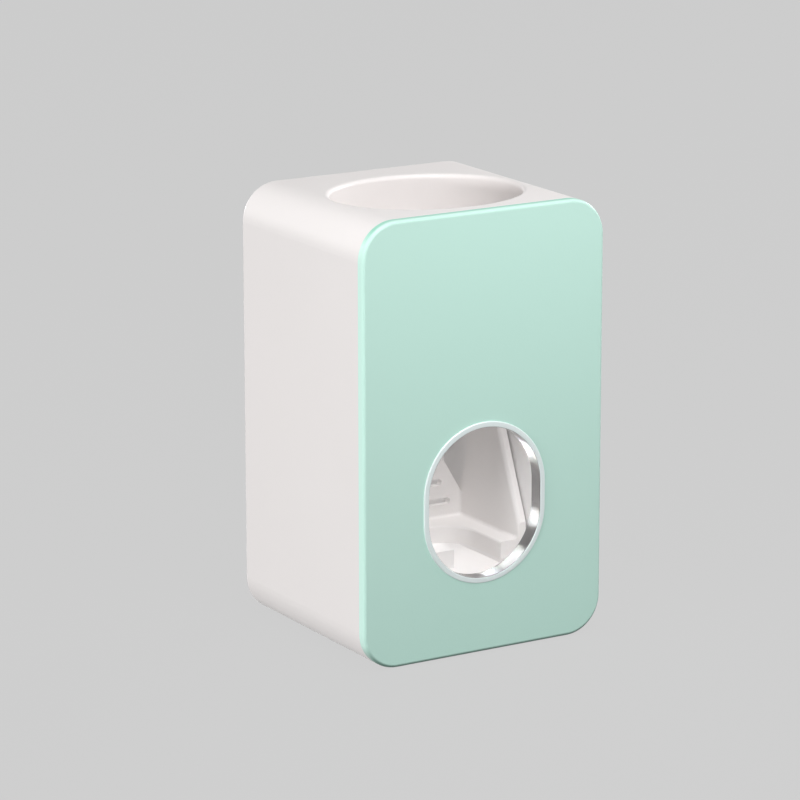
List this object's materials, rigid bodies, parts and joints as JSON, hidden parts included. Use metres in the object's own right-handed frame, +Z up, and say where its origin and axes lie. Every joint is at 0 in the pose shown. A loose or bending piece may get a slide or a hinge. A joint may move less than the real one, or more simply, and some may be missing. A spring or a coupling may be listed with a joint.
{
  "type": "toothpaste dispenser",
  "caption": "Upright push-type toothpaste dispenser: white housing with an oval tube well on top, mint front with a chrome-lined brush window, sprung lever, silicone pump and wall plate.",
  "frame": {"origin": "under the middle of the part, on the plane it stands on", "axes": "+X to the right, -Y out of the front panel, +Z up"},
  "size_m": [0.0742, 0.0654, 0.12],
  "materials": {
    "white_shell": "smooth white, soft gloss",
    "mint": "smooth pale mint, satin gloss",
    "white_inner": "moulded white, fine matt",
    "bright": "bright plated",
    "steel": "plain drawn steel",
    "silicone": "translucent silicone, matt",
    "foam": "closed-cell foam tape"
  },
  "bodies": {
    "dispenser": {"housing": "white_shell", "inner_frame": "white_inner", "frame_screws": "steel", "tube_seal": "silicone", "seal_collar": "white_shell", "pump_head": "white_inner", "inlet_valve": "silicone", "pump_bulb": "silicone", "upper_clamp": "white_inner", "lower_clamp": "white_inner", "nozzle": "white_inner", "nozzle_nut": "white_inner", "outlet_valve": "silicone", "return_spring": "steel"},
    "front": {"front_panel": "mint", "panel_carrier": "white_inner", "window_bezel": "bright"},
    "lever": {"push_lever": "white_inner", "pivot_pin_left": "steel", "pivot_pin_right": "steel"},
    "wall_mount": {"wall_plate": "white_inner", "adhesive_pad": "foam"}
  },
  "joints": [
    {"name": "lever_push", "type": "hinge", "parent": "dispenser", "child": "lever", "pos_m": [0, -0.0027, 0.0867], "axis": [1, 0, 0], "range_deg": [0, 10], "stiffness_Nm_per_rad": 0.4, "springref_deg": -5.73, "deforming": ["pump_bulb", "return_spring"]},
    {"name": "panel_pull", "type": "slide", "parent": "dispenser", "child": "front", "axis": [0, -1, 0], "range_m": [0, 0.012]},
    {"name": "wall_plate_unhook", "type": "slide", "parent": "dispenser", "child": "wall_mount", "axis": [0, 0, -1], "range_m": [0, 0.01]}
  ]
}
